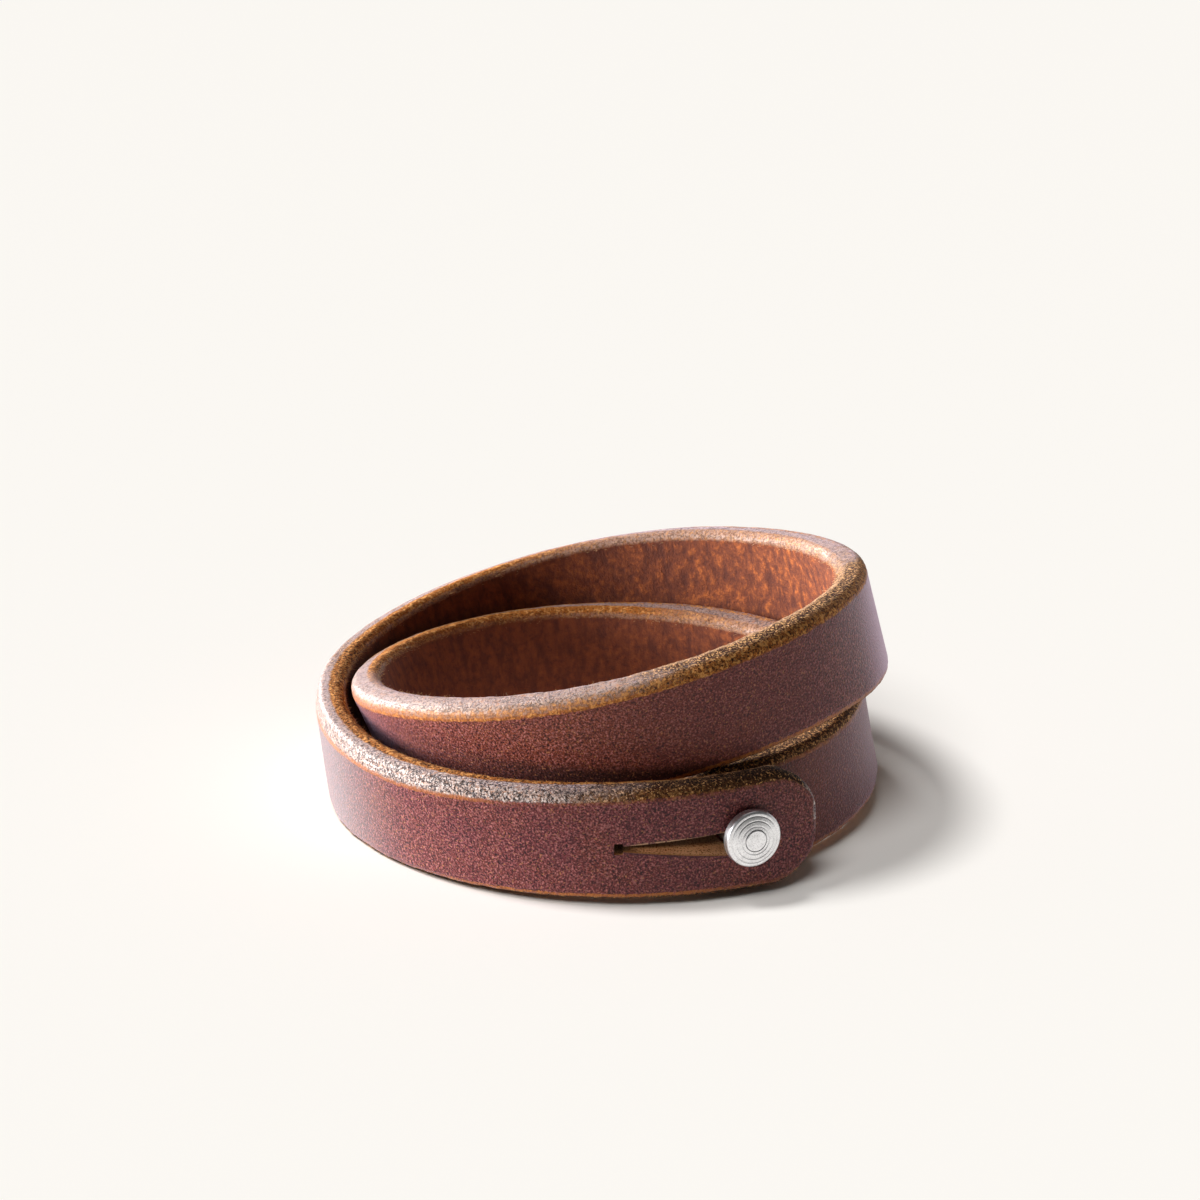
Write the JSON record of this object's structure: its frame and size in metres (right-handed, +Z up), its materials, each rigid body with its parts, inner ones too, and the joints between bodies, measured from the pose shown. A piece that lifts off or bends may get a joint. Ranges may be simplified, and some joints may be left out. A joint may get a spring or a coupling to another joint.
{
  "type": "wrap bracelet",
  "caption": "Thick leather strap wound twice round the wrist, buttoned through a slit hole on a turned steel stud.",
  "frame": {"origin": "on the table, under the middle of the bracelet as it lies there", "axes": "+Z up along the wrist hollow, -Y towards the buttoned front with the stud, +X to the right of it"},
  "size_m": [0.0644, 0.067, 0.0286],
  "materials": {
    "leather": "satin vegetable-tanned leather with burnished edges",
    "steel": "turned, with fine concentric lathe rings"
  },
  "bodies": {
    "root": {"strap": "leather", "stud_cap": "steel", "stud_post": "steel"}
  },
  "joints": []
}
